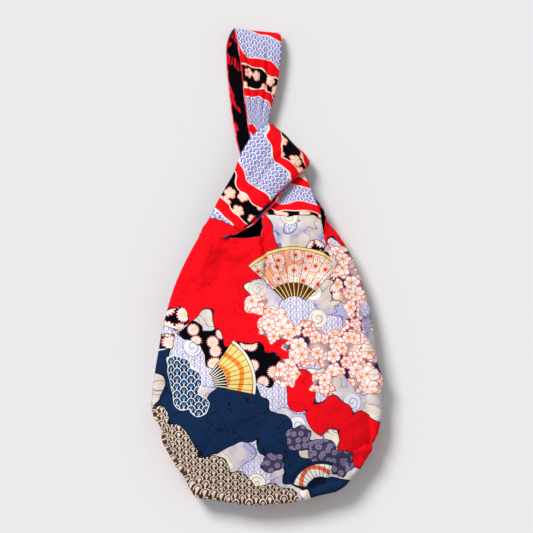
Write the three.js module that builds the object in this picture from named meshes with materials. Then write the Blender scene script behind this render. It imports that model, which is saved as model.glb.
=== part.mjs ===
// Knotted wrist pouch of doubled cotton, lying on its back.
// Four cloth panels: an outer front and an outer back, sewn round the sides and
// the bottom, and a lining front and a lining back of the same cut inside them.
// Each panel runs up into two half straps. The left pair joins into the short
// strap and the right pair into the long handle, which passes up through the
// short strap's loop and closes the mouth.
// Millimetres. +Z up, +Y from the bottom of the pouch towards the top of the
// handle, +X to the right of the front. The origin is under the middle of the
// overall outline, on the surface the pouch lies on.
import * as THREE from 'three';

// ---- driving dimensions ------------------------------------------------
const OUTER_T = 1.2;      // outer cloth with its backing
const LINING_T = 0.8;     // lining cloth
const PLY_GAP = 0.3;      // between the two cloths
const SEAM_GAP = 0.4;     // between a front and a back panel along a seam
const FLOOR_Z = OUTER_T;  // the reference surface lies one outer cloth above the floor
const BODY_HEIGHT = 60;   // reference surface at the fullest point
const MOUTH_HEIGHT = 36;  // reference surface at the mouth's front edge
const SEAM_Z = 20;        // height of the side and bottom seams
const SEAM_Z_TOP = 18;    // height of the side seams where they end
const MOUTH_L = 0.2;      // share of a panel's width left of the mouth
const MOUTH_R = 0.5;      // and up to its right end
const SEAM_SHIFT = 0.13;  // how far the right seam has turned onto the front, as a share of its width
const NU = 20;            // grid across the body, a multiple of 10
const NV = 14;            // grid up the body
const NS = 20;            // grid along a half strap
const DRAWN_X = 265.9;    // the drawing's middle
const DRAWN_Y = 266.9;

// A point of the front drawing, in millimetres, and its height.
const at = (a, b, z = 0) => new THREE.Vector3(a - DRAWN_X, DRAWN_Y - b, z);
const through = (...p) =>
  new THREE.CatmullRomCurve3(p.map((q) => at(...q)), false, 'centripetal');
const clamp01 = (x) => Math.min(1, Math.max(0, x));
const mix = (a, b, t) => a + (b - a) * t;
const smooth = (x) => { const t = clamp01(x); return t * t * (3 - 2 * t); };

// ---- outline of the body, from the bottom corners up -------------------
const sideL = through([163, 432], [155, 422], [151, 408], [152.5, 392], [155, 370],
  [159, 347], [163.5, 324], [170, 299], [177.5, 278], [187, 258], [195, 243], [199, 237]);
const sideR = through([374, 444], [379, 431], [381.4, 417], [381.5, 400], [379.8, 380],
  [377, 357], [373.5, 334], [368.5, 311], [362, 288], [353, 266.5], [344, 249], [337.5, 237]);
const bottom = through([163, 432], [166.5, 446], [173.5, 461], [184, 477], [197, 489.5],
  [213, 498], [232, 504], [252, 506], [273, 505], [295, 502.5], [315, 497], [332, 489.5],
  [346, 481], [358, 470.5], [367, 459], [374, 444]);
const cornerL = at(199, 237), cornerR = at(337.5, 237);
// How much of the back has come round onto the front at the right.
function shift(v) {
  const w = SEAM_SHIFT * smooth((v - 0.42) / 0.3) - 0.025 * smooth((v - 0.75) / 0.25);
  return w < 0.006 ? 0 : w;
}
// The back's column that lies on the right silhouette.
const edgeColumn = (v) => (shift(v) < 0.006 ? NU : shift(v) < 0.04 ? NU - 1 : shift(v) < 0.095 ? NU - 2 : NU - 3) / NU;

// The rung of a panel where its mouth and its straps begin, as a line over the
// width seen from the front. The back's is higher up than the front's, because
// the front bulges and the back lies flat.
function rung(l, r, reach) {
  const ul = MOUTH_L * reach, ur = MOUTH_R * reach;
  return (u) => {
    if (u <= ul) return cornerL.clone().lerp(l, u / ul);
    if (u >= ur) return r.clone().lerp(cornerR, (u - ur) / (1 - ur));
    const t = (u - ul) / (ur - ul), p = l.clone().lerp(r, t);
    p.y -= 1.5 * Math.sin(Math.PI * t);
    return p;
  };
}
const frontRung = rung(at(222, 238), at(262, 237), 1 - shift(1));
const backRung = rung(at(227, 214), at(262, 203), 1 / edgeColumn(1));

// Place of the point (u, v) seen from the front: u across, v up.
function plan(top, u, v) {
  const b = bottom.getPointAt(u), t = top(u);
  const l = sideL.getPointAt(v), r = sideR.getPointAt(v);
  const c00 = bottom.getPointAt(0), c10 = bottom.getPointAt(1);
  const f = (k) =>
    mix(b[k], t[k], v) + mix(l[k], r[k], u) -
    (mix(mix(c00[k], c10[k], u), mix(cornerL[k], cornerR[k], u), v));
  return new THREE.Vector3(f('x'), f('y'), 0);
}

const seamHeight = (v) => mix(SEAM_Z, SEAM_Z_TOP, v);
// The upper face: quick at the bottom, fullest a third of the way up.
function upper(u, v) {
  const p = plan(frontRung, u, v);
  const rise = Math.sqrt(1 - (1 - clamp01(v / 0.4)) ** 2);
  const crown = mix(BODY_HEIGHT, MOUTH_HEIGHT, smooth((v - 0.3) / 0.75));
  const across = (1 - Math.abs(2 * u - 1) ** 2.2) ** 0.55;
  const s = seamHeight(v);
  p.z = s + (crown - s) * rise * across;
  return p;
}
// The lower face turns under and lies flat on the floor.
function lower(u, v) {
  const p = plan(backRung, u, v);
  const k = 0.55, w = clamp01((Math.abs(2 * u - 1) - k) / (1 - k));
  const q = 1 - clamp01(v / 0.2);
  p.z = mix(seamHeight(v), FLOOR_Z, Math.sqrt(1 - w * w) * Math.sqrt(1 - q * q));
  return p;
}
const frontBody = (u, v) => upper(u * (1 - shift(v)), v);
function backBody(u, v) {
  const k = edgeColumn(v);
  return u <= k ? lower(u / k, v) : upper(1 - shift(v) * (u - k) / (1 - k), v);
}

// ---- straps: the two edges of each half, from the body to where it turns over
const STRAPS = {
  frontLeft: [
    through([199, 237, 18], [205, 226, 19], [211, 217, 20.5], [218, 202.5, 22], [225.5, 189, 23],
      [233.5, 175.5, 23.5], [239.5, 160, 23.5], [246, 146.5, 23.5], [253, 136.5, 23], [261, 129.5, 22],
      [268.5, 125.2, 18.5], [272.5, 125, 12.5]),
    through([222, 238, 32.5], [233, 234.5, 34], [244, 228, 34.5], [254, 217.5, 34.5], [264, 207.5, 34.5],
      [275, 196.5, 33], [285, 185.5, 30.5], [293.5, 177, 27.5], [300, 171, 23.5], [304.5, 165.5, 18],
      [306, 161, 12]),
  ],
  frontRight: [
    through([262, 237, 36], [263, 222, 33], [265, 208, 27], [264, 190, 20.5], [258.5, 168, 16],
      [252.5, 148, 14.5], [249, 127, 13.5], [246.5, 108, 13.5], [244.5, 90, 14], [242.5, 70, 14],
      [239.5, 50, 14], [237, 37.5, 13.5], [235.4, 30.3, 11.5], [235, 28, 7.5]),
    through([323.2, 237, 29], [318, 221, 28], [312.5, 205, 25.5], [307, 190, 22], [299, 173, 17.5],
      [287, 156, 14.5], [274.5, 139, 13.2], [267.8, 122, 12.8], [270.2, 108, 13.5], [274, 93, 14],
      [277.5, 76, 14], [280, 56, 14], [280.5, 43, 13.5], [280, 35, 11.5], [279.6, 32.4, 7.5]),
  ],
  backLeft: [
    through([199, 237, 18], [203.5, 229, 12.5], [210, 219, 6.5], [219, 204, 2.6], [229, 188, 1.5],
      [238, 174, 1.5], [246, 161, 1.5], [254, 148.5, 1.6], [260.5, 138.5, 2.4], [268.5, 128.5, 5.5],
      [272.5, 125, 12.5]),
    through([227, 214, 1.5], [240, 207, 1.5], [254, 198, 1.5], [268, 188, 1.5],
      [281, 178.5, 1.5], [291.5, 171.5, 2], [300.5, 165.5, 5.5], [306, 161, 12]),
  ],
  backRight: [
    through([262, 203, 1.5], [257.5, 194, 5.8], [251, 180, 7.4], [245, 165, 7.6], [239.5, 148, 7.4],
      [235.5, 130, 6], [232, 108, 3.6], [229.5, 85, 1.8], [227.5, 62, 1.5], [227.5, 47, 1.5],
      [229.5, 37, 2], [232.7, 30.8, 4], [235, 28, 7.5]),
    through([323.2, 237, 29], [324.5, 223, 22], [317, 207, 14.5], [306, 191, 10], [292, 170, 8.6],
      [276, 148, 9], [264, 130, 9], [262, 108, 5], [264, 85, 1.8], [267, 62, 1.5],
      [271, 47, 1.5], [276.5, 38.5, 2.2], [279, 34.6, 4], [279.6, 32.4, 7.5]),
  ],
};

// ---- one panel as a sheet: body grid, then its two half straps ----------
function sheet(body, left, right, fade) {
  const pts = [], quads = [];
  const add = (p) => pts.push(p) - 1;
  const grid = [];
  for (let j = 0; j <= NV; j++) {
    const row = [], v = j / NV;
    for (let i = 0; i <= NU; i++) {
      row.push(add(body(i / NU, v)));
    }
    grid.push(row);
  }
  for (let j = 0; j < NV; j++)
    for (let i = 0; i < NU; i++)
      quads.push([grid[j][i], grid[j][i + 1], grid[j + 1][i + 1], grid[j + 1][i]]);
  const ends = {};
  for (const [name, [e0, e1], i0, i1] of [
    ['left', left, 0, Math.round(MOUTH_L * NU)],
    ['right', right, Math.round(MOUTH_R * NU), NU],
  ]) {
    const n = i1 - i0;
    const base = grid[NV].slice(i0, i1 + 1).map((k) => pts[k].clone());
    let prev = grid[NV].slice(i0, i1 + 1);
    const rows = [prev];
    for (let j = 1; j <= NS; j++) {
      // shorter steps towards the turn
      const s = 1 - (1 - j / NS) ** 1.4, a = e0.getPointAt(s), b = e1.getPointAt(s);
      const keep = 1 - smooth(s / fade);
      const row = [];
      for (let i = 0; i <= n; i++) {
        const t = i / n, p = a.clone().lerp(b, t);
        // the arch that the strap has where it leaves the body fades along it
        const line = base[0].clone().lerp(base[n], t);
        p.addScaledVector(base[i].clone().sub(line), keep);
        row.push(add(p));
      }
      for (let i = 0; i < n; i++) quads.push([prev[i], prev[i + 1], row[i + 1], row[i]]);
      prev = row;
      rows.push(row);
    }
    ends[name] = rows;
  }
  return { pts, quads, grid, ends };
}

const front = sheet(frontBody, STRAPS.frontLeft, STRAPS.frontRight, 0.3);
const back = sheet(backBody, STRAPS.backLeft, STRAPS.backRight, 0.12);

// ---- outward normals, shared along the seams ----------------------------
function faceNormals(s, flip) {
  const n = s.pts.map(() => new THREE.Vector3());
  for (const q of s.quads) {
    const [a, b, c, d] = q.map((k) => s.pts[k]);
    const x = c.clone().sub(a).cross(d.clone().sub(b));
    if (flip) x.negate();
    for (const k of q) n[k].add(x);
  }
  return n;
}
const nf = faceNormals(front, false), nb = faceNormals(back, true);
// Each seam point with its neighbour inside the panel.
const seams = [];
for (let j = 0; j <= NV; j++) for (const i of j === 0 ? [...Array(NU + 1).keys()] : [0, NU])
  seams.push([front.grid[j][i],
    front.grid[Math.max(j, 1)][j === 0 ? i : i === 0 ? 1 : NU - 1]]);
for (const side of ['left', 'right']) front.ends[side][NS].forEach((k, i) =>
  seams.push([k, front.ends[side][NS - 1][i]]));
const apart = new Map();
for (const [k, m] of seams) {
  nf[k].normalize().add(nb[k].normalize()).normalize();
  nb[k].copy(nf[k]);
  const c = front.pts[m].clone().sub(back.pts[m]);
  apart.set(k, c.addScaledVector(nf[k], -c.dot(nf[k])).setLength(SEAM_GAP / 2));
}
for (const n of [...nf, ...nb]) n.normalize();

// ---- a ply of cloth: the sheet between two distances from the reference ---
function ply(s, normals, from, to, flip) {
  const g = flip ? -1 : 1;
  const place = (k, d) => {
    const p = s.pts[k].clone().addScaledVector(normals[k], d);
    if (apart.has(k)) p.addScaledVector(apart.get(k), g);
    return p;
  };
  const n = s.pts.length, v = [];
  for (let k = 0; k < n; k++) v.push(place(k, to));
  for (let k = 0; k < n; k++) v.push(place(k, from));
  const f = [];
  const edges = new Map();
  for (const q0 of s.quads) {
    const q = flip ? [...q0].reverse() : q0;
    f.push([q[0], q[1], q[2]], [q[0], q[2], q[3]]);
    f.push([q[0] + n, q[2] + n, q[1] + n], [q[0] + n, q[3] + n, q[2] + n]);
    for (let e = 0; e < 4; e++) {
      const a = q[e], b = q[(e + 1) % 4], other = b + ',' + a;
      if (edges.has(other)) edges.delete(other);
      else edges.set(a + ',' + b, [a, b]);
    }
  }
  for (const [a, b] of edges.values()) f.push([a, a + n, b + n], [a, b + n, b]);
  const geometry = new THREE.BufferGeometry();
  geometry.setAttribute('position',
    new THREE.Float32BufferAttribute(v.flatMap((p) => [p.x, p.y, p.z]), 3));
  geometry.setIndex(f.flat());
  geometry.computeVertexNormals();
  return geometry;
}

const printed = new THREE.MeshStandardMaterial({ color: 0xb8443c, roughness: 0.85, metalness: 0 });
const printedBack = new THREE.MeshStandardMaterial({ color: 0x32406a, roughness: 0.85, metalness: 0 });
const red = new THREE.MeshStandardMaterial({ color: 0xa31525, roughness: 0.9, metalness: 0 });

const bag = new THREE.Group();
function panel(name, s, normals, from, to, flip, material) {
  const mesh = new THREE.Mesh(ply(s, normals, from, to, flip), material);
  mesh.name = name;
  bag.add(mesh);
}
panel('outer_front_panel', front, nf, 0, OUTER_T, false, printed);
panel('outer_back_panel', back, nb, 0, OUTER_T, true, printedBack);
panel('lining_front_panel', front, nf, -PLY_GAP - LINING_T, -PLY_GAP, false, red);
panel('lining_back_panel', back, nb, -PLY_GAP - LINING_T, -PLY_GAP, true, red);

export default bag;
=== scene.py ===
import math

import bpy
import numpy as np
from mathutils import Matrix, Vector


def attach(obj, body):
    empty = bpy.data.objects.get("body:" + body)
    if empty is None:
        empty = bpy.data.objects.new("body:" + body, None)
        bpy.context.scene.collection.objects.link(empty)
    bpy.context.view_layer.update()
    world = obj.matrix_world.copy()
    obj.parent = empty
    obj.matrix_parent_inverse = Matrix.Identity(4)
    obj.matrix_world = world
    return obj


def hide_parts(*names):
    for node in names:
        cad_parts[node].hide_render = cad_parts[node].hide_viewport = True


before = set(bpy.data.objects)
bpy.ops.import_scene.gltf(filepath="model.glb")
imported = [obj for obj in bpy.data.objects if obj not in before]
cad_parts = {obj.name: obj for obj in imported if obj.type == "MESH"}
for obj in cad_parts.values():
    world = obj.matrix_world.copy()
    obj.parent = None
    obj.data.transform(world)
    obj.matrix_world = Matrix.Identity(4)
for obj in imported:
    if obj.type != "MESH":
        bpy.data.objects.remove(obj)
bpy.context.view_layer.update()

# ---------------------------------------------------------------- dimensions
# Millimetres in the drawing of the front: a to the right, b down.
DRAWN_A, DRAWN_B = 265.9, 266.9
FLOOR_Z = 1.2
BODY_HEIGHT = 60.0
MOUTH_HEIGHT = 36.0
SEAM_Z, SEAM_Z_TOP = 20.0, 18.0
SEAM_SHIFT = 0.13
OUTER_T, PLY_GAP, LINING_T = 0.9, 0.2, 0.7


def smooth(x):
    t = np.clip(x, 0.0, 1.0)
    return t * t * (3 - 2 * t)


def mix(a, b, t):
    return a + (b - a) * t


def bump(x, w):
    return np.exp(-((x / w) ** 2))


def window(x, a, b, soft):
    return smooth((x - a) / soft) * (1 - smooth((x - b + soft) / soft))


rng = np.random.RandomState(11)


def waves(n, shortest, longest):
    """Smooth noise over the plane, about unit size, from n waves."""
    k = 2 * math.pi / (shortest + (longest - shortest) * rng.rand(n))
    th = 2 * math.pi * rng.rand(n)
    ph = 2 * math.pi * rng.rand(n)
    kx, ky = k * np.cos(th), k * np.sin(th)

    def f(x, y):
        total = 0
        for i in range(n):
            total = total + np.sin(kx[i] * x + ky[i] * y + ph[i])
        return total * math.sqrt(2.0 / n)

    return f


def drawn(a, b, z=0.0):
    return np.array([a - DRAWN_A, DRAWN_B - b, z])


def curve(points, n=40):
    """Centripetal Catmull-Rom curve, as a function of the share of its length."""
    p = np.array([drawn(*q) for q in points])
    p = np.vstack([2 * p[0] - p[1], p, 2 * p[-1] - p[-2]])
    out = []
    for i in range(1, len(p) - 2):
        p0, p1, p2, p3 = p[i - 1:i + 3]
        d0 = max(np.linalg.norm(p1 - p0) ** 0.5, 1e-4)
        d1 = max(np.linalg.norm(p2 - p1) ** 0.5, 1e-4)
        d2 = max(np.linalg.norm(p3 - p2) ** 0.5, 1e-4)
        t1 = ((p1 - p0) / d0 - (p2 - p0) / (d0 + d1) + (p2 - p1) / d1) * d1
        t2 = ((p2 - p1) / d1 - (p3 - p1) / (d1 + d2) + (p3 - p2) / d2) * d1
        t = np.linspace(0, 1, n, endpoint=False)[:, None]
        out.append(p1 + t1 * t + (-3 * p1 + 3 * p2 - 2 * t1 - t2) * t ** 2 + (2 * p1 - 2 * p2 + t1 + t2) * t ** 3)
    out.append(p[-2:-1])
    q = np.vstack(out)
    s = np.concatenate([[0], np.cumsum(np.linalg.norm(np.diff(q, axis=0), axis=1))])
    length = s[-1]

    def f(x):
        x = np.asarray(x, float) * length
        return np.stack([np.interp(x, s, q[:, k]) for k in range(3)], -1)

    f.length = length
    return f


# ------------------------------------------------------- outline of the body
side_l = curve([(163, 432), (155, 422), (151, 408), (152.5, 392), (155, 370), (159, 347),
                (163.5, 324), (170, 299), (177.5, 278), (187, 258), (195, 243), (199, 237)])
side_r = curve([(374, 444), (379, 431), (381.4, 417), (381.5, 400), (379.8, 380), (377, 357),
                (373.5, 334), (368.5, 311), (362, 288), (353, 266.5), (344, 249), (337.5, 237)])
bottom = curve([(163, 432), (166.5, 446), (173.5, 461), (184, 477), (197, 489.5), (213, 498),
                (232, 504), (252, 506), (273, 505), (295, 502.5), (315, 497), (332, 489.5),
                (346, 481), (358, 470.5), (367, 459), (374, 444)])
CORNER_L, CORNER_R = drawn(199, 237), drawn(337.5, 237)
MOUTH_L, MOUTH_R = 0.2, 0.5


def shift(v):
    w = SEAM_SHIFT * smooth((v - 0.42) / 0.3) - 0.025 * smooth((v - 0.75) / 0.25)
    return np.where(w < 0.002, 0.0, w)


# --------------------------------------------------------------- grid counts
NL, NM, NR = 22, 32, 56          # columns left of, across and right of the mouth
NC = NL + NM + NR
NB = 110                         # rows of the body
NSL, NSR = 72, 110               # rows of the short strap and of the handle, each half


def columns():
    """Shares of the width, closer together at the two sides."""
    left = np.linspace(0, 1, NL + 1) ** 1.25 * MOUTH_L
    middle = np.linspace(MOUTH_L, MOUTH_R, NM + 1)
    right = 1 - (1 - MOUTH_R) * (1 - np.linspace(0, 1, NR + 1)) ** 1.2
    return np.concatenate([left, middle[1:], right[1:]])


U = columns()
V = np.linspace(0, 1, NB + 1) ** 1.3


def rung(l, r, ul, ur):
    def f(u):
        u = np.asarray(u)[..., None]
        a = CORNER_L + (l - CORNER_L) * np.clip(u / ul, 0, 1)
        t = np.clip((u - ul) / (ur - ul), 0, 1)
        m = l + (r - l) * t
        m = m - np.concatenate([0 * t, 1.5 * np.sin(math.pi * t), 0 * t], -1)
        b = r + (CORNER_R - r) * np.clip((u - ur) / (1 - ur), 0, 1)
        return np.where(u <= ul, a, np.where(u >= ur, b, m))

    return f


EDGE_COLUMN = 0.87   # the back's share of width that lies on the right silhouette at the top
w1 = float(shift(np.array(1.0)))
front_rung = rung(drawn(222, 238), drawn(262, 237), MOUTH_L * (1 - w1), MOUTH_R * (1 - w1))
back_rung = rung(drawn(227, 214), drawn(262, 203), MOUTH_L / EDGE_COLUMN, MOUTH_R / EDGE_COLUMN)


def plan(top, u, v):
    b, t = bottom(u), top(u)
    l, r = side_l(v), side_r(v)
    u, v = u[..., None], v[..., None]
    c00, c10 = bottom(0.0), bottom(1.0)
    return (mix(b, t, v) + mix(l, r, u)
            - mix(mix(c00, c10, u), mix(CORNER_L, CORNER_R, u), v))


def seam_height(v):
    return mix(SEAM_Z, SEAM_Z_TOP, v)


def upper(u, v):
    p = plan(front_rung, u, v)
    rise = np.sqrt(1 - (1 - np.clip(v / 0.4, 0, 1)) ** 2)
    crown = mix(BODY_HEIGHT, MOUTH_HEIGHT, smooth((v - 0.3) / 0.75))
    across = np.clip(1 - np.abs(2 * u - 1) ** 2.2, 0, 1) ** 0.55
    s = seam_height(v)
    p[..., 2] = s + (crown - s) * rise * across
    return p


def lower(u, v):
    p = plan(back_rung, u, v)
    k = 0.55
    w = np.clip((np.abs(2 * u - 1) - k) / (1 - k), 0, 1)
    q = 1 - np.clip(v / 0.2, 0, 1)
    p[..., 2] = mix(seam_height(v), FLOOR_Z, np.sqrt(1 - w * w) * np.sqrt(1 - q * q))
    return p


def front_body():
    u, v = np.meshgrid(U, V)
    return upper(u * (1 - shift(v)), v)


def back_body():
    u, v = np.meshgrid(U, V)
    w = shift(v)
    # the column on the silhouette moves in as the seam turns onto the front
    k = 1 - (1 - EDGE_COLUMN) * smooth(w / 0.06)
    inner = u <= k
    t = np.where(inner, u / k, 1.0)
    o = np.where(inner, 0.0, (u - k) / np.maximum(1 - k, 1e-6))
    a = lower(t, v)
    b = upper(1 - w * o, v)
    return np.where(inner[..., None], a, b)


STRAPS = {
    "front_left": (
        curve([(199, 237, 18), (205, 226, 19), (211, 217, 20.5), (218, 202.5, 22), (225.5, 189, 23),
               (233.5, 175.5, 23.5), (239.5, 160, 23.5), (246, 146.5, 23.5), (253, 136.5, 23), (261, 129.5, 22),
               (268.5, 125.2, 18.5), (272.5, 125, 12.5)]),
        curve([(222, 238, 32.5), (233, 234.5, 34), (244, 228, 34.5), (254, 217.5, 34.5), (264, 207.5, 34.5),
               (275, 196.5, 33), (285, 185.5, 30.5), (293.5, 177, 27.5), (300, 171, 23.5), (304.5, 165.5, 18),
               (306, 161, 12)])),
    "front_right": (
        curve([(262, 237, 36), (263, 222, 33), (265, 208, 27), (264, 190, 20.5), (258.5, 168, 16),
               (252.5, 148, 14.5), (249, 127, 13.5), (246.5, 108, 13.5), (244.5, 90, 14), (242.5, 70, 14),
               (239.5, 50, 14), (237, 37.5, 13.5), (235.4, 30.3, 11.5), (235, 28, 7.5)]),
        curve([(323.2, 237, 29), (318, 221, 28), (312.5, 205, 25.5), (307, 190, 22), (299, 173, 17.5),
               (287, 156, 14.5), (274.5, 139, 13.2), (267.8, 122, 12.8), (270.2, 108, 13.5), (274, 93, 14),
               (277.5, 76, 14), (280, 56, 14), (280.5, 43, 13.5), (280, 35, 11.5), (279.6, 32.4, 7.5)])),
    "back_left": (
        curve([(199, 237, 18), (203.5, 229, 12.5), (210, 219, 6.5), (219, 204, 2.6), (229, 188, 1.5),
               (238, 174, 1.5), (246, 161, 1.5), (254, 148.5, 1.6), (260.5, 138.5, 2.4), (268.5, 128.5, 5.5),
               (272.5, 125, 12.5)]),
        curve([(227, 214, 1.5), (240, 207, 1.5), (254, 198, 1.5), (268, 188, 1.5), (281, 178.5, 1.5),
               (291.5, 171.5, 2), (300.5, 165.5, 5.5), (306, 161, 12)])),
    "back_right": (
        curve([(262, 203, 1.5), (257.5, 194, 5.8), (251, 180, 7.4), (245, 165, 7.6), (239.5, 148, 7.4),
               (235.5, 130, 6), (232, 108, 3.6), (229.5, 85, 1.8), (227.5, 62, 1.5), (227.5, 47, 1.5),
               (229.5, 37, 2), (232.7, 30.8, 4), (235, 28, 7.5)]),
        curve([(323.2, 237, 29), (324.5, 223, 22), (317, 207, 14.5), (306, 191, 10), (292, 170, 8.6),
               (276, 148, 9), (264, 130, 9), (262, 108, 5), (264, 85, 1.8), (267, 62, 1.5), (271, 47, 1.5),
               (276.5, 38.5, 2.2), (279, 34.6, 4), (279.6, 32.4, 7.5)])),
}


def strap(base, name, rows, fade):
    """The grid of half a strap, from the row of the body that it grows out of."""
    e0, e1 = STRAPS[name]
    n = len(base)
    t = np.linspace(0, 1, n)
    if name.endswith("left"):
        t = (U[:NL + 1] / MOUTH_L)
    else:
        t = (U[NL + NM:] - MOUTH_R) / (1 - MOUTH_R)
    # columns even out along the strap
    s = 1 - (1 - np.linspace(0, 1, rows + 1)) ** 1.25
    even = smooth(s / 0.35)[:, None]
    tt = mix(t[None, :], np.linspace(0, 1, n)[None, :], even)[..., None]
    a, b = e0(s)[:, None, :], e1(s)[:, None, :]
    p = a + (b - a) * tt
    line = base[0] + (base[-1] - base[0]) * t[:, None]
    keep = (1 - smooth(s / fade))[:, None, None]
    p = p + (base - line)[None] * keep
    p[0] = base
    return p, s, tt[..., 0]


def panel(body, side, fades):
    left, sl, tl = strap(body[-1, :NL + 1], side + "_left", NSL, fades)
    right, sr, tr = strap(body[-1, NL + NM:], side + "_right", NSR, fades)
    return {"body": body, "left": left, "right": right, "sl": sl, "tl": tl, "sr": sr, "tr": tr}


front = panel(front_body(), "front", 0.3)
back = panel(back_body(), "back", 0.12)

# -------------------------------------------- one list of points for a panel
NBODY = (NB + 1) * (NC + 1)
idx_body = np.arange(NBODY).reshape(NB + 1, NC + 1)
idx_left = np.vstack([idx_body[-1:, :NL + 1],
                      NBODY + np.arange(NSL * (NL + 1)).reshape(NSL, NL + 1)])
NLEFT = NSL * (NL + 1)
idx_right = np.vstack([idx_body[-1:, NL + NM:],
                       NBODY + NLEFT + np.arange(NSR * (NR + 1)).reshape(NSR, NR + 1)])
NALL = NBODY + NLEFT + NSR * (NR + 1)


def quads_of(idx):
    return np.stack([idx[:-1, :-1], idx[:-1, 1:], idx[1:, 1:], idx[1:, :-1]], -1).reshape(-1, 4)


QUADS = np.vstack([quads_of(idx_body), quads_of(idx_left), quads_of(idx_right)])


def points_of(g):
    p = np.empty((NALL, 3))
    p[idx_body.ravel()] = g["body"].reshape(-1, 3)
    p[idx_left[1:].ravel()] = g["left"][1:].reshape(-1, 3)
    p[idx_right[1:].ravel()] = g["right"][1:].reshape(-1, 3)
    return p


SEAM = np.unique(np.concatenate([idx_body[0], idx_body[:, 0], idx_body[:, -1], idx_left[-1], idx_right[-1]]))

# ------------------------------------------------- folds, before the settling
def grid_normals(p, flip):
    n = np.zeros_like(p)
    a, b, c, d = (p[QUADS[:, k]] for k in range(4))
    x = np.cross(c - a, d - b)
    if flip:
        x = -x
    for k in range(4):
        np.add.at(n, QUADS[:, k], x)
    return n


def unit(n):
    return n / np.maximum(np.linalg.norm(n, axis=-1, keepdims=True), 1e-12)


def shared_normals(pf, pb):
    nf, nb = unit(grid_normals(pf, False)), unit(grid_normals(pb, True))
    m = unit(nf[SEAM] + nb[SEAM])
    nf[SEAM] = m
    nb[SEAM] = m
    return nf, nb


def to_segment(p, a, b):
    """Distance of each point to the line a-b in the drawing, and the place along it."""
    a, b = drawn(*a)[:2], drawn(*b)[:2]
    d = b - a
    t = np.clip(((p[..., :2] - a) @ d) / (d @ d), 0, 1)
    q = a + t[..., None] * d
    return np.linalg.norm(p[..., :2] - q, axis=-1), t


def to_path(p, path):
    """The same for a bent line."""
    best, where = None, None
    n = len(path) - 1
    for i in range(n):
        d, t = to_segment(p, path[i], path[i + 1])
        if best is None:
            best, where = d, (i + t) / n
        else:
            k = d < best
            best, where = np.where(k, d, best), np.where(k, (i + t) / n, where)
    return best, where


# Pleats and drag folds of the front: bent line, depth, half width.
# They start where the straps pull and die out down the body.
FRONT_FOLDS = [
    ([(263, 239), (264.5, 262), (266, 284), (269, 310)], -5.2, 2.8),
    ([(269, 240), (272, 262), (276, 292)], 3.4, 5.0),
    ([(281, 240), (285, 264), (290, 288)], -2.0, 4.5),
    ([(256, 243), (257, 262), (256, 290)], 2.4, 4.5),
    ([(226, 243), (222, 262), (214, 288), (207, 318)], -3.0, 5.0),
    ([(212, 240), (204, 258), (193, 288)], 2.4, 6.0),
    ([(238, 244), (239, 268), (238, 300)], -2.0, 5.5),
    ([(288, 215), (298, 240), (306, 272), (312, 312)], -2.8, 5.5),
    ([(305, 205), (316, 236), (326, 268), (333, 300)], 2.2, 6.0),
    ([(203, 232), (190, 262), (178, 300)], -2.0, 6.0),
    ([(276, 205), (283, 232), (288, 262)], 1.3, 6.0),
    ([(366, 372), (345, 384), (318, 392)], -1.6, 7.0),
    ([(160, 392), (182, 398), (206, 396)], -1.5, 7.0),
    ([(250, 492), (246, 470), (236, 446)], -1.4, 7.0),
    ([(320, 488), (312, 468), (309, 446)], -1.5, 6.0),
]
DARTS = [((163, 431), (192, 447)), ((374, 442.5), (343, 455))]

broad = waves(9, 55, 130)
middling = waves(10, 22, 50)
fine_w = waves(12, 9, 20)


def seam_distance(v_index_shape=None):
    """Rough distance in millimetres of each body point from the side and bottom seams."""
    u, v = np.meshgrid(U, V)
    width = 138 + 92 * np.clip(1.25 - v, 0, 1)
    side = np.minimum(u, 1 - u) * width
    low = v * 235
    return np.minimum(side, low), side, low


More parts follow.
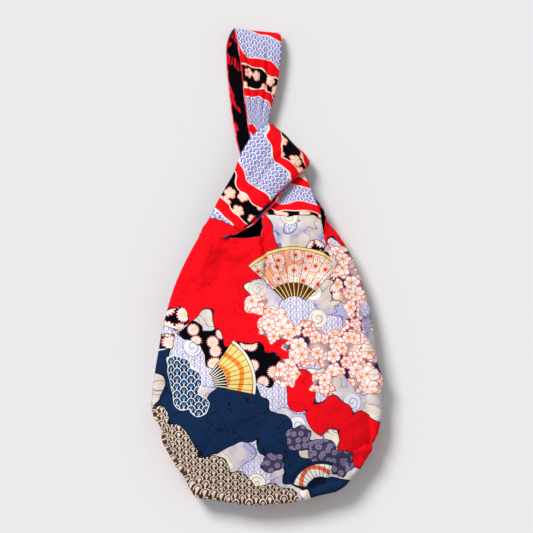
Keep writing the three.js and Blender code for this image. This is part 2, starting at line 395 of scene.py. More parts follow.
def sculpt(pf, pb):
    """Adds folds and puckers along the normals, and returns the two panels."""
    nf, nb = shared_normals(pf, pb)
    df, db = np.zeros(NALL), np.zeros(NALL)
    near, side, low = seam_distance()
    u, v = np.meshgrid(U, V)
    bf = pf[idx_body]
    bb = pb[idx_body]
    # broad unevenness, less near the seams, none on the mouth's edge
    calm = smooth(near / 18)
    d = calm * (1.3 * broad(bf[..., 0], bf[..., 1]) + 0.55 * middling(bf[..., 0], bf[..., 1]))
    for path, depth, w in FRONT_FOLDS:
        dist, t = to_path(bf, path)
        fade = 1 - smooth((t - 0.35) / 0.65)
        d = d + depth * bump(dist, w * (1 + 0.8 * t)) * fade * smooth((near - 1) / 8)
    # puckers that the seam's thread draws in, across it
    along = np.where(side < low, bf[..., 1], bf[..., 0])
    ripple = np.sin(along * 0.78 + 2.2 * np.sin(along * 0.083) + 1.3 * fine_w(bf[..., 0] * 0.4, bf[..., 1] * 0.4))
    d = d + 0.62 * ripple * np.exp(-near / 9.0) * smooth(near / 2.0)
    d = d + 0.3 * calm * fine_w(bf[..., 0], bf[..., 1]) * bump(np.minimum(near, 60) - 20, 30)
    df[idx_body] = d
    # the back: only gentle, it is pressed flat
    lifted = smooth((bb[..., 2] - 4) / 10)
    e = calm * lifted * (0.9 * broad(bb[..., 0] + 300, bb[..., 1]) + 0.5 * middling(bb[..., 0] + 300, bb[..., 1]))
    along = np.where(side < low, bb[..., 1], bb[..., 0])
    ripple = np.sin(along * 0.78 + 2.2 * np.sin(along * 0.083) + 0.6)
    e = e + 0.6 * ripple * np.exp(-near / 9.0) * smooth(near / 2.0) * lifted
    db[idx_body] = e

    # straps
    for g, dd, name in ((front, df, "f"), (back, db, "b")):
        s, t = g["sl"][:, None], g["tl"]
        if name == "f":
            puff = 4.2 * (1 - (2 * t - 1) ** 2) * smooth(s / 0.35) * (1 - smooth((s - 0.86) / 0.13))
            crease = -5.0 * bump(t - 0.60 + 0.10 * (1 - s), 0.060) * window(s, 0.40, 0.98, 0.16)
            crease = crease - 2.6 * bump(t - 0.33 - 0.08 * s, 0.055) * window(s, 0.45, 0.95, 0.15)
            crease = crease - 2.2 * bump(t - 0.47 - 0.30 * (s - 0.7), 0.05) * window(s, 0.45, 0.8, 0.12)
            crease = crease + 1.2 * bump(t - 0.80, 0.10) * window(s, 0.3, 0.9, 0.2)
            crease = crease - 2.4 * bump(t - 0.30 - 0.25 * (s - 0.2), 0.07) * window(s, 0.02, 0.5, 0.15)
            across = 0.5 * np.sin(26 * s + 7 * t) * window(s, 0.7, 1.0, 0.1) * (1 - smooth((s - 0.93) / 0.07))
            k = puff + crease + across
        else:
            k = 0.4 * np.sin(9 * t + 5 * s) * window(s, 0.1, 0.9, 0.2)
        dd[idx_left[1:]] = k[1:]
        s, t = g["sr"][:, None], g["tr"]
        if name == "f":
            # under the knot the handle is squeezed into pleats that run on up it
            k = -3.4 * bump(t - 0.20 - 0.05 * np.sin(5 * s), 0.042) * window(s, 0.48, 0.97, 0.15)
            k = k + 1.1 * bump(t - 0.31, 0.07) * window(s, 0.5, 0.97, 0.15)
            k = k - 3.2 * bump(t - 0.70 + 0.12 * (s - 0.7), 0.042) * window(s, 0.52, 0.96, 0.14)
            k = k + 1.0 * bump(t - 0.82, 0.07) * window(s, 0.5, 0.95, 0.15)
            k = k - 1.8 * bump(t - 0.48 - 0.10 * (s - 0.7), 0.045) * window(s, 0.6, 0.9, 0.12)
            k = k + 1.8 * (1 - (2 * t - 1) ** 2) * window(s, 0.55, 0.97, 0.12)
            k = k + 0.8 * np.sin(7 * t + 2) * window(s, 0.03, 0.45, 0.15)
        else:
            k = 0.5 * np.sin(8 * t + 3 * s) * window(s, 0.5, 0.95, 0.15)
            k = k - 0.9 * bump(t - 0.55, 0.06) * window(s, 0.6, 0.95, 0.15)
        dd[idx_right[1:]] = k[1:]
    qf, qb = pf + nf * df[:, None], pb + nb * db[:, None]
    # the darts at the two lower corners draw the outline in
    for q in (qf, qb):
        for (c, e) in DARTS:
            dist, t = to_segment(q, c, e)
            at = drawn(*c)[:2]
            inward = unit(drawn(*e)[:2] - at)
            body = idx_body.ravel()
            r = np.linalg.norm(q[body, :2] - at, axis=-1)
            q[body, :2] += inward * (4.2 * bump(r, 5.0))[:, None]
            up = 1.0 if q is qf else 0.35
            q[body, 2] -= up * 2.4 * bump(dist[body], 3.2) * (1 - smooth((t[body] - 0.3) / 0.7)) * (q[body, 2] > 8)
    return qf, qb


pf0, pb0 = points_of(front), points_of(back)
pb0[SEAM] = pf0[SEAM]
pf0, pb0 = sculpt(pf0, pb0)
m = 0.5 * (pf0[SEAM] + pb0[SEAM])
pf0[SEAM] = m
pb0[SEAM] = m


# ------------------------------------------------------------------ settling
def coarse(idx):
    return idx[::2, ::2]


def settle(pf, pb):
    """Lets the body's cloth settle under its own weight and filling, with the knot held.

    The front and back are welded at the seams. Only every second point is used,
    and the movement is spread over the rest."""
    parts = [coarse(idx_body), coarse(idx_left), coarse(idx_right)]
    used = np.unique(np.concatenate([q.ravel() for q in parts]))
    number = -np.ones(NALL, int)
    number[used] = np.arange(len(used))
    seam = np.zeros(NALL, bool)
    seam[SEAM] = True
    nf = len(used)
    back_number = number.copy()
    free = used[~seam[used]]
    back_number[free] = nf + np.arange(len(free))
    verts = np.vstack([pf[used], pb[free]])
    quads = np.vstack([quads_of(q) for q in parts])
    faces = np.vstack([number[quads], back_number[quads][:, ::-1]])
    mesh = bpy.data.meshes.new("settling")
    mesh.from_pydata((verts * 0.001).tolist(), [], faces.tolist())
    obj = bpy.data.objects.new("settling", mesh)
    bpy.context.scene.collection.objects.link(obj)

    hold = np.zeros(len(verts))
    tight = np.zeros(len(verts))
    for number_, p, g in ((number, pf, front), (back_number, pb, back)):
        for idx in (idx_left, idx_right):
            rows = np.broadcast_to(np.arange(idx.shape[0])[:, None], idx.shape)[::2, ::2]
            hold[number_[coarse(idx)]] = np.maximum(hold[number_[coarse(idx)]], smooth(rows / 14.0))
        near, side_d, low = seam_distance()
        tight[number_[coarse(idx_body)]] = np.exp(-near[::2, ::2] / 7.0)
        # the outline keeps its place
        hold[number_[coarse(idx_body)]] = np.maximum(hold[number_[coarse(idx_body)]], 0.55 * bump(near[::2, ::2], 5.0))
        # the mouth's edge stays put
        v = np.broadcast_to(V[:, None], idx_body.shape)[::2, ::2]
        hold[number_[coarse(idx_body)]] = np.maximum(hold[number_[coarse(idx_body)]], 0.9 * smooth((v - 0.93) / 0.07))
    group = obj.vertex_groups.new(name="hold")
    shrink = obj.vertex_groups.new(name="tight")
    for i in range(len(verts)):
        if hold[i] > 0.001:
            group.add([i], float(hold[i]), "REPLACE")
        shrink.add([i], float(tight[i]), "REPLACE")

    floor = bpy.data.meshes.new("settling_floor")
    floor.from_pydata([(-1, -1, 0), (1, -1, 0), (1, 1, 0), (-1, 1, 0)], [], [(0, 1, 2, 3)])
    under = bpy.data.objects.new("settling_floor", floor)
    bpy.context.scene.collection.objects.link(under)
    under.modifiers.new("Collision", "COLLISION")
    under.collision.thickness_outer = 0.0006
    under.collision.cloth_friction = 30

    cloth = obj.modifiers.new("Cloth", "CLOTH")
    c = cloth.settings
    c.quality = 6
    c.mass = 0.02
    c.air_damping = 2.0
    c.tension_stiffness = 22
    c.compression_stiffness = 22
    c.shear_stiffness = 9
    c.bending_stiffness = 0.35
    c.tension_damping = 8
    c.compression_damping = 8
    c.shear_damping = 6
    c.bending_damping = 0.6
    c.vertex_group_mass = "hold"
    c.pin_stiffness = 1.0
    c.use_pressure = True
    c.uniform_pressure_force = 1.15
    c.vertex_group_shrink = "tight"
    c.shrink_min = -0.018
    c.shrink_max = 0.012
    cloth.collision_settings.distance_min = 0.0006
    cloth.collision_settings.use_self_collision = False
    scene = bpy.context.scene
    cloth.point_cache.frame_start = 1
    cloth.point_cache.frame_end = 30
    for f in range(1, 27):
        scene.frame_set(f)
    deps = bpy.context.evaluated_depsgraph_get()
    out = obj.evaluated_get(deps)
    co = np.empty(len(verts) * 3)
    out.data.vertices.foreach_get("co", co)
    co = co.reshape(-1, 3) * 1000
    scene.frame_set(1)
    for o in (obj, under):
        data = o.data
        bpy.data.objects.remove(o)
        bpy.data.meshes.remove(data)
    moved = co - verts
    length = np.linalg.norm(moved, axis=1)
    cap = 9.0
    moved *= (cap * np.tanh(length / cap) / np.maximum(length, 1e-9))[:, None]
    print("settled: mean", length.mean(), "max", length.max())

    def spread(number_):
        full = np.zeros((NALL, 3))
        for idx in (idx_body, idx_left, idx_right):
            c0 = moved[number_[coarse(idx)]]
            full[idx] = upsample(c0)
        return full

    return pf + spread(number), pb + spread(back_number)


def upsample(c):
    """Twice the rows and columns, by a smooth curve through the known ones."""
    def axis0(a):
        n = a.shape[0]
        e = np.concatenate([2 * a[:1] - a[1:2], a, 2 * a[-1:] - a[-2:-1]])
        midpoint = (9 * (e[1:-2] + e[2:-1]) - (e[:-3] + e[3:])) / 16
        out = np.empty((2 * n - 1,) + a.shape[1:])
        out[::2] = a
        out[1::2] = midpoint
        return out
    return np.swapaxes(axis0(np.swapaxes(axis0(c), 0, 1)), 0, 1)


pf1, pb1 = settle(pf0, pb0)
m = 0.5 * (pf1[SEAM] + pb1[SEAM])
pf1[SEAM] = m
pb1[SEAM] = m
pf1[:, 2] = np.maximum(pf1[:, 2], FLOOR_Z)
pb1[:, 2] = np.maximum(pb1[:, 2], FLOOR_Z)

# the outline's last corrections, the same for every layer: centre, shift and reach
TRIMS = [((151, 430), (7.5, -1.0), 9.0), ((202, 490), (-5.0, 6.0), 13.0), ((338, 486), (2.8, 3.8), 17.0),
         ((379, 380), (4.0, 0.0), 10.0), ((284, 135), (3.0, -1.0), 12.0), ((298, 156), (4.5, -1.5), 14.0),
         ((306, 184), (3.5, 0.0), 15.0), ((317, 210), (4.0, -0.5), 14.0)]
for q in (pf1, pb1):
    start = q[:, :2].copy()
    for (a_, b_), (da_, db_), reach in TRIMS:
        at = drawn(a_, b_)[:2]
        w_ = np.exp(-(np.linalg.norm(start - at, axis=1) / reach) ** 2)
        q[:, 0] += da_ * w_
        q[:, 1] -= db_ * w_

# ------------------------------------------------------------------- plies
NF, NBK = shared_normals(pf1, pb1)
gap_dir = np.zeros((NALL, 3))
inside = {}
for row, inner in ((idx_body[0], idx_body[1]), (idx_body[:, 0], idx_body[:, 1]),
                   (idx_body[:, -1], idx_body[:, -2]), (idx_left[-1], idx_left[-2]), (idx_right[-1], idx_right[-2])):
    for a, b in zip(row, inner):
        inside.setdefault(int(a), int(b))
for a, b in inside.items():
    c = pf1[b] - pb1[b]
    c = c - NF[a] * (c @ NF[a])
    gap_dir[a] = c / max(np.linalg.norm(c), 1e-9)

# how far the outer cloth turns in at a seam
seam_in = np.zeros(NALL)
u_, v_ = np.meshgrid(U, V)
near_, side_, low_ = seam_distance()
seam_in[idx_body] = bump(near_, 2.2)
for idx, s_, rows in ((idx_left, front["sl"], NSL), (idx_right, front["sr"], NSR)):
    d_ = (1 - s_) * (150 if rows == NSL else 225)
    seam_in[idx[1:]] = bump(d_, 1.8)[1:, None]


def material_uv(p, side):
    """Flat pattern coordinates in millimetres, straight on the cloth."""
    uv = np.zeros((NALL, 2))
    body = p[idx_body]
    g = front if side == "front" else back
    a = g["body"][..., 0] + DRAWN_A
    b = DRAWN_B - g["body"][..., 1]
    if side == "back":
        u, v = np.meshgrid(U, V)
        flat = plan(front_rung, u, v)
        a, b = flat[..., 0] + DRAWN_A, DRAWN_B - flat[..., 1]
    uv[idx_body] = np.stack([a, b], -1)
    for key, idx, c0, c1 in (("left", idx_left, 196.0, 242.0), ("right", idx_right, 272.0, 318.0)):
        base = uv[idx[0]]
        q = p[idx]
        step = np.linalg.norm(np.diff(q, axis=0), axis=-1).mean(1)
        run = np.concatenate([[0], np.cumsum(step)])
        t = g["tl" if key == "left" else "tr"]
        straight = c0 + (c1 - c0) * t
        k = smooth(run / 90.0)[:, None]
        x = mix(np.broadcast_to(base[:, 0], straight.shape), straight, k)
        y = mix(np.broadcast_to(base[:, 1], straight.shape), base[:, 1].mean(), k) - run[:, None]
        uv[idx[1:]] = np.stack([x, y], -1)[1:]
    return uv


UV = {"front": material_uv(pf1, "front"), "back": material_uv(pb1, "back")}


def rim_edges(faces):
    edges = {}
    for q in faces:
        for k in range(4):
            a, b = int(q[k]), int(q[(k + 1) % 4])
            if (b, a) in edges:
                del edges[(b, a)]
            else:
                edges[(a, b)] = True
    return list(edges)


RIM = rim_edges(QUADS)


def ply(name, side, lo, hi, turn_in, roll=None):
    """A closed sheet between two distances from the settled surface."""
    p, n = (pf1, NF) if side == "front" else (pb1, NBK)
    sign = 1.0 if side == "front" else -1.0
    top = p + n * (hi - turn_in * seam_in)[:, None] + gap_dir * sign * 0.05
    low = p + n * (lo - turn_in * seam_in)[:, None] + gap_dir * sign * 0.05
    if roll is not None:
        top = top + roll
        low = low + roll
    verts = np.vstack([top, low])
    q = QUADS if side == "front" else QUADS[:, ::-1]
    under = q[:, ::-1] + NALL
    rim = np.array(RIM)
    if side == "back":
        rim = rim[:, ::-1]
    walls = np.stack([rim[:, 1], rim[:, 0], rim[:, 0] + NALL, rim[:, 1] + NALL], -1)
    faces = np.vstack([q, under, walls])
    mesh = bpy.data.meshes.new(name)
    mesh.from_pydata((verts * 0.001).tolist(), [], faces.tolist())
    uvs = np.vstack([UV[side], UV[side]])
    layer = mesh.uv_layers.new(name="cut")
    loops = np.empty(len(mesh.loops), int)
    mesh.loops.foreach_get("vertex_index", loops)
    layer.data.foreach_set("uv", (uvs[loops]).astype(np.float32).ravel())
    mesh.polygons.foreach_set("use_smooth", [True] * len(mesh.polygons))
    mesh.update()
    obj = bpy.data.objects.new(name, mesh)
    bpy.context.scene.collection.objects.link(obj)
    return obj


# the lining rolls out past the outer cloth along part of the short strap's inner edge
roll_f = np.zeros((NALL, 3))
g_in = idx_left[:, -1]
pw = pf1[idx_left]
across = unit(pw[:, -1] - pw[:, -4])
s_l = front["sl"][:, None]
t_l = front["tl"]
amount = 4.2 * window(front["sl"], 0.16, 0.66, 0.14)[:, None] * smooth((t_l - 0.80) / 0.20)
roll_f[idx_left] = across[:, None, :] * amount[..., None] - NF[idx_left] * (0.5 * amount[..., None])

outer_front = ply("bag_front_cloth", "front", 0.0, OUTER_T, 0.8)
outer_back = ply("bag_back_cloth", "back", 0.0, OUTER_T, 0.8)
lining_front = ply("bag_front_lining", "front", -PLY_GAP - LINING_T, -PLY_GAP, 0.5, roll_f)
lining_back = ply("bag_back_lining", "back", -PLY_GAP - LINING_T, -PLY_GAP, 0.5)


# ------------------------------------------------ the lining's rolled edges
def edge_path(side, idx, column=None, row=None):
    p, n = (pf1, NF) if side == "front" else (pb1, NBK)
    k = idx[:, column] if column is not None else idx[row]
    return p[k] + n[k] * 0.0, k


def chain(parts):
    out = [parts[0]]
    for q in parts[1:]:
        out.append(q[1:])
    return np.vstack(out)


def outward(side, idx, column, inner):
    p = pf1 if side == "front" else pb1
    return unit(p[idx[:, column]] - p[idx[:, inner]])


def edge_of(side, which):
    """Edge points pushed a little out of the cloth, from the body end to the strap's top."""
    p, n = (pf1, NF) if side == "front" else (pb1, NBK)
    if which == "left_outer":
        k, i = idx_left[:, 0], idx_left[:, 2]
    elif which == "left_inner":
        k, i = idx_left[:, -1], idx_left[:, -3]
    elif which == "right_inner":
        k, i = idx_right[:, 0], idx_right[:, 4]
    elif which == "right_outer":
        k, i = idx_right[:, -1], idx_right[:, -5]
    else:
        k, i = idx_body[-1, NL:NL + NM + 1], idx_body[-2, NL:NL + NM + 1]
    d = unit(p[k] - p[i])
    d = unit(d - n[k] * np.sum(d * n[k], axis=-1, keepdims=True))
    q = p[k] + d * 0.35 + n[k] * 0.05
    if side == "front" and which == "left_inner":
        q = q + roll_f[k]
    return q


def tube(name, path, radius, closed, sides=8, cut=None):
    n = len(path)
    if closed:
        tangent = np.roll(path, -1, 0) - np.roll(path, 1, 0)
    else:
        tangent = np.gradient(path, axis=0)
    tangent = unit(tangent)
    ref = np.array([0.0, 0.0, 1.0])
    normal = np.empty_like(path)
    a = ref - tangent[0] * (ref @ tangent[0])
    if np.linalg.norm(a) < 1e-3:
        a = np.array([1.0, 0, 0])
    a = a / np.linalg.norm(a)
    for i in range(n):
        a = a - tangent[i] * (a @ tangent[i])
        a = a / np.linalg.norm(a)
        normal[i] = a
    other = np.cross(tangent, normal)
    twist = 0.0
    if closed:
        # close the frame by spreading what is left of its turn
        b = normal[0] - tangent[-1] * (normal[0] @ tangent[-1])
        twist = math.atan2(b @ other[-1], b @ normal[-1])
    r = radius if np.ndim(radius) else np.full(n, radius)
    verts, uvs = [], []
    for k in range(sides):
        for_i = 2 * math.pi * k / sides + twist * np.arange(n) / n
        verts.append(path + normal * (r * np.cos(for_i))[:, None] + other * (r * np.sin(for_i))[:, None])
    verts = np.stack(verts, 1).reshape(-1, 3)
    faces = []
    last = n if closed else n - 1
    for i in range(last):
        j = (i + 1) % n
        for k in range(sides):
            l = (k + 1) % sides
            faces.append((i * sides + k, i * sides + l, j * sides + l, j * sides + k))
    if not closed:
        faces.append(tuple(range(sides))[::-1])
        faces.append(tuple((n - 1) * sides + k for k in range(sides)))
    mesh = bpy.data.meshes.new(name)
    mesh.from_pydata((verts * 0.001).tolist(), [], faces)
    s = np.concatenate([[0], np.cumsum(np.linalg.norm(np.diff(path, axis=0), axis=1))])
    layer = mesh.uv_layers.new(name="cut")
    loops = np.empty(len(mesh.loops), int)
    mesh.loops.foreach_get("vertex_index", loops)
    uv = np.stack([s[loops // sides], (loops % sides) * 0.8], -1) if cut is None else cut[loops // sides]
    layer.data.foreach_set("uv", uv.astype(np.float32).ravel())
    mesh.polygons.foreach_set("use_smooth", [True] * len(mesh.polygons))
    mesh.update()
    obj = bpy.data.objects.new(name, mesh)
    bpy.context.scene.collection.objects.link(obj)
    return obj


mouth_loop = chain([
    edge_of("front", "mouth"),
    edge_of("front", "right_inner"),
    edge_of("back", "right_inner")[::-1],
    edge_of("back", "mouth")[::-1],
    edge_of("back", "left_inner"),
    edge_of("front", "left_inner")[::-1],
])[:-1]
left_loop = chain([edge_of("front", "left_outer"), edge_of("back", "left_outer")[::-1]])[:-1]
right_loop = chain([edge_of("front", "right_outer"), edge_of("back", "right_outer")[::-1]])[:-1]
left_cut = chain([UV["front"][idx_left[:, 0]], UV["back"][idx_left[:, 0]][::-1]])[:-1]
right_cut = chain([UV["front"][idx_right[:, -1]], UV["back"][idx_right[:, -1]][::-1]])[:-1]


def roll_radius(path):
    s = np.arange(len(path))
    return 0.95 + 0.12 * np.sin(s * 0.21) + 0.08 * np.sin(s * 0.47 + 1.0)


rolls = [tube("lining_roll_mouth", mouth_loop, roll_radius(mouth_loop), True),
         tube("edge_roll_left", left_loop, roll_radius(left_loop) * 0.75, True, cut=left_cut),
         tube("edge_roll_right", right_loop, roll_radius(right_loop) * 0.75, True, cut=right_cut)]

# ---------------------------------------------------------------- materials
class Value:
    """One output of a node, with arithmetic that adds nodes in the order of use."""

    def __init__(self, net, socket):
        self.net, self.socket = net, socket

    def __add__(self, o): return self.net.math("ADD", self, o)
    __radd__ = __add__
    def __sub__(self, o): return self.net.math("SUBTRACT", self, o)
    def __rsub__(self, o): return self.net.math("SUBTRACT", o, self)
    def __mul__(self, o): return self.net.math("MULTIPLY", self, o)
    __rmul__ = __mul__
    def __truediv__(self, o): return self.net.math("DIVIDE", self, o)
    def __neg__(self): return self.net.math("MULTIPLY", self, -1.0)


class Net:
    def __init__(self, name, group=False):
        if group:
            self.tree = bpy.data.node_groups.new(name, "ShaderNodeTree")
            return
        self.material = bpy.data.materials.new(name)
        self.material.use_nodes = True
        self.tree = self.material.node_tree
        self.bsdf = self.tree.nodes["Principled BSDF"]

    def node(self, kind):
        return self.tree.nodes.new(kind)

    def put(self, socket, value):
        if isinstance(value, Value):
            self.tree.links.new(value.socket, socket)
        elif socket.type == "RGBA" and len(value) == 3:
            socket.default_value = (*value, 1.0)
        else:
            socket.default_value = value

    def math(self, op, a, b=None, c=None, clamp=False):
        n = self.node("ShaderNodeMath")
        n.operation = op
        n.use_clamp = clamp
        for k, x in enumerate((a, b, c)):
            if x is not None:
                self.put(n.inputs[k], x)
        return Value(self, n.outputs[0])

    def fn(self, op, a):
        return self.math(op, a)

    def inside(self, d, soft=0.5):
        """1 where d is below zero, with a soft edge."""
        return self.math("MULTIPLY_ADD", d, -1.0 / soft, 0.5, clamp=True)

    def line(self, d, width, soft=0.5):
        return self.inside(self.fn("ABSOLUTE", d) - width * 0.5, soft)

    def both(self, a, b):
        return self.math("MULTIPLY", a, b)

    def either(self, a, b):
        return self.math("MAXIMUM", a, b)

    def vector(self, x, y, z=0.0):
        n = self.node("ShaderNodeCombineXYZ")
        for k, v in enumerate((x, y, z)):
            self.put(n.inputs[k], v)
        return Value(self, n.outputs[0])

    def parts(self, v):
        return self.vmath("DOT_PRODUCT", v, (1.0, 0.0, 0.0)), self.vmath("DOT_PRODUCT", v, (0.0, 1.0, 0.0))

    def vmath(self, op, a, b=None, scale=None):
        n = self.node("ShaderNodeVectorMath")
        n.operation = op
        self.put(n.inputs[0], a)
        if b is not None:
            self.put(n.inputs[1], b)
        if scale is not None:
            self.put(n.inputs["Scale"], scale)
        return Value(self, n.outputs["Value" if op in ("LENGTH", "DISTANCE", "DOT_PRODUCT") else "Vector"])

    def colour(self, fac, a, b):
        n = self.node("ShaderNodeMix")
        n.data_type = "RGBA"
        self.put(n.inputs[0], fac)
        for k, v in ((6, a), (7, b)):
            self.put(n.inputs[k], v if isinstance(v, Value) else (*v, 1.0))
        return Value(self, n.outputs[2])

    def blend(self, fac, a, b):
        n = self.node("ShaderNodeMix")
        n.data_type = "FLOAT"
        self.put(n.inputs[0], fac)
        self.put(n.inputs[2], a)
        self.put(n.inputs[3], b)
        return Value(self, n.outputs[0])

    def noise(self, v, scale, detail=0.0, rough=0.5, colour=False):
        n = self.node("ShaderNodeTexNoise")
        n.noise_dimensions = "2D"
        self.put(n.inputs["Vector"], v)
        n.inputs["Scale"].default_value = scale
        n.inputs["Detail"].default_value = detail
        n.inputs["Roughness"].default_value = rough
        return Value(self, n.outputs["Color" if colour else "Fac"])

    def edges(self, v, scale, randomness):
        """Distance in millimetres to the nearest edge between cells."""
        n = self.node("ShaderNodeTexVoronoi")
        n.voronoi_dimensions = "2D"
        n.feature = "DISTANCE_TO_EDGE"
        self.put(n.inputs["Vector"], v)
        n.inputs["Scale"].default_value = 1.0 / scale
        n.inputs["Randomness"].default_value = randomness
        return Value(self, n.outputs["Distance"]) * scale

    def cells(self, v, scale, randomness):
        """Distance vector to the nearest cell centre in millimetres, and a random value of the cell."""
        n = self.node("ShaderNodeTexVoronoi")
        n.voronoi_dimensions = "2D"
        self.put(n.inputs["Vector"], v)
        n.inputs["Scale"].default_value = 1.0 / scale
        n.inputs["Randomness"].default_value = randomness
        where = Value(self, n.outputs["Position"])
        q = self.vmath("SUBTRACT", v, where)
        r, g = self.parts(Value(self, n.outputs["Color"]))
        return q, r, g


def polar(g, q):
    x, y = g.parts(q)
    r = g.vmath("LENGTH", q)
    return r, g.math("ARCTAN2", y, x)


RED = (0.76, 0.004, 0.010)
CRIMSON = (0.42, 0.006, 0.022)
NAVY = (0.006, 0.020, 0.062)
INK = (0.0014, 0.0014, 0.0030)
CREAM = (0.82, 0.74, 0.62)
GREIGE = (0.62, 0.53, 0.47)
WHITE = (0.86, 0.84, 0.80)
LAVENDER = (0.40, 0.37, 0.58)
PALE = (0.72, 0.70, 0.80)
MAUVE = (0.16, 0.13, 0.26)
PERIWINKLE = (0.19, 0.20, 0.48)
BLUE = (0.02, 0.12, 0.36)
CORAL = (0.80, 0.14, 0.055)
ORANGE = (0.80, 0.24, 0.03)
GOLD = (0.82, 0.60, 0.20)
TEAL = (0.0, 0.09, 0.085)
BROWN = (0.085, 0.028, 0.010)
PINK = (0.80, 0.10, 0.13)
BLUSH = (0.84, 0.50, 0.42)


# ---- distances, negative inside, all in millimetres
def circles(g, P, places, k):
    """Several round fields run together."""
    d = None
    for a, b, r in places:
        e = g.vmath("DISTANCE", P, (float(a), float(b), 0.0)) - float(r)
        d = e if d is None else g.math("SMOOTH_MIN", d, e, k)
    return d


def capsule(g, P, a, b, r):
    """A straight stick with round ends."""
    ax, ay = b[0] - a[0], b[1] - a[1]
    q = g.vmath("SUBTRACT", P, (a[0], a[1], 0.0))
    n = ax * ax + ay * ay
    h = g.vmath("DOT_PRODUCT", q, (ax / n, ay / n, 0.0))
    h = g.math("ADD", h, 0.0, clamp=True)
    w = g.vmath("SCALE", (float(ax), float(ay), 0.0), scale=h)
    return g.vmath("LENGTH", g.vmath("SUBTRACT", q, w)) - r


def along(g, x, y, degrees):
    a = math.radians(degrees)
    return g.math("MULTIPLY_ADD", x, math.cos(a), y * math.sin(a))


def strip(g, v, lo, hi):
    return g.math("MAXIMUM", lo - v, v - hi)


def meet(g, *d):
    out = d[0]
    for e in d[1:]:
        out = g.math("MAXIMUM", out, e)
    return out


def lay(g, col, d, c, line=INK, width=0.8):
    """Prints c inside d over col, with an inked outline."""
    col = g.colour(g.inside(d, 0.4), col, c)
    if width:
        col = g.colour(g.line(d, width, 0.45), col, line)
    return col


# ---- patterns
def flowers(g, v, col, size, petals, radius, fill, tip, edge, heart, on=None, rand=0.7, spread=0.0, sharp=0.45):
    """Round flowers scattered over col, one to a cell, drawn with thin outlines."""
    q, r1, r2 = g.cells(v, size, rand)
    r, th = polar(g, q)
    turn = g.math("MULTIPLY_ADD", r1, 6.28, th)
    m = g.fn("ABSOLUTE", g.fn("COSINE", turn * (petals / 2.0)))
    lobe = g.math("POWER", m, sharp)
    reach = g.math("MULTIPLY_ADD", lobe, 0.34 * radius, 0.66 * radius)
    if spread:
        reach = reach * g.math("MULTIPLY_ADD", r2, spread, 1.0 - spread * 0.5)
    d = r - reach
    body = g.inside(d, 0.35)
    if on is not None:
        body = g.both(body, on)
    tint = g.colour(g.inside(r - radius * 0.42, radius * 0.9), fill, tip)
    col = g.colour(body, col, tint)
    # the lines between petals, and the outline
    between = g.inside(g.math("MULTIPLY_ADD", m, r, -0.62), 0.45)
    between = g.both(between, g.inside(radius * 0.26 - r, 0.3))
    lines = g.either(between, g.line(d + 0.35, 0.9, 0.45))
    col = g.colour(g.both(lines, body), col, edge)
    middle = g.inside(r - radius * 0.22, 0.4)
    return g.colour(g.both(middle, body), col, heart)


def scales(g, x, y, w, base, lineof, fill2):
    """Overlapping wave scales, each of rings."""
    h, rad = w / 4.0, w / 2.0
    row = g.fn("FLOOR", y / h)
    result = None
    for off in (1, 0, -1):
        k = row + float(off)
        cy = k * h
        par = g.fn("FRACT", k * 0.5)
        fx = g.fn("FRACT", g.math("MULTIPLY_ADD", x, 1.0 / w, par)) - 0.5
        dx = fx * w
        dy = y - cy
        d = g.fn("SQRT", g.math("MULTIPLY_ADD", dx, dx, dy * dy))
        if result is None:
            result = d
        else:
            # nearer rows cover those behind
            result = g.blend(g.math("LESS_THAN", result, rad), d, result)
    ring = g.math("PINGPONG", result, rad / 4.0)
    col = g.colour(g.inside(ring - 0.42, 0.4), base, lineof)
    return g.colour(g.inside(result - rad * 0.28, 0.4), col, fill2)


def clouds(g, v, soft):
    """Curling clouds: cream and greige ground, lavender shade, curled outlines."""
    tone = g.math("MULTIPLY_ADD", soft, 3.4, -1.3, clamp=True)
    col = g.colour(tone, LAVENDER, CREAM)
    deep = g.noise(v, 1 / 52.0, 1.0)
    col = g.colour(g.inside(deep - 0.44, 0.10), col, GREIGE)
    col = g.colour(g.inside(0.58 - deep, 0.08), col, PALE)
    # long contour lines, and a curl at the heart of some of the billows
    f = g.math("PINGPONG", g.math("MULTIPLY_ADD", soft, 4.6, 0.2), 0.5)
    col = g.colour(g.inside(f - 0.030, 0.04), col, MAUVE)
    x, y = g.parts(v)
    arcs = scales(g, x, y, 12.0, PALE, (0.26, 0.23, 0.40), LAVENDER)
    col = g.colour(g.inside(0.545 - deep, 0.012), col, arcs)
    col = g.colour(g.line(0.545 - deep, 0.012, 0.01), col, MAUVE)
    q, r1, r2 = g.cells(v, 27.0, 0.95)
    r, th = polar(g, q)
    s = g.fn("FRACT", g.math("MULTIPLY_ADD", r, 1.0 / 4.4, th * (1.0 / 6.2832)) + r1)
    billow = g.inside(r - 9.5, 0.5)
    on = g.both(billow, g.inside(0.74 - r2, 0.05))
    col = g.colour(on, col, g.colour(g.inside(r1 - 0.5, 0.05), PALE, CREAM))
    curl = g.inside(g.fn("ABSOLUTE", s - 0.5) - 0.075, 0.10)
    curl = g.either(g.both(curl, g.inside(r - 6.6, 0.5)), g.line(r - 9.2, 0.6, 0.4))
    return g.colour(g.both(curl, on), col, MAUVE)


def dashes(g, x, y, degrees, soft, ground, mark):
    """Short strokes in rows."""
    a = along(g, x, y, degrees) + soft * 10.0
    b = along(g, x, y, degrees + 90.0)
    row = g.fn("FLOOR", a / 2.6)
    f = g.fn("FRACT", a / 2.6)
    s = g.fn("FRACT", g.math("MULTIPLY_ADD", row, 0.37, b / 6.5))
    on = g.both(g.inside(g.fn("ABSOLUTE", f - 0.5) - 0.20, 0.15), g.inside(g.fn("ABSOLUTE", s - 0.5) - 0.36, 0.08))
    return g.colour(on, ground, mark)


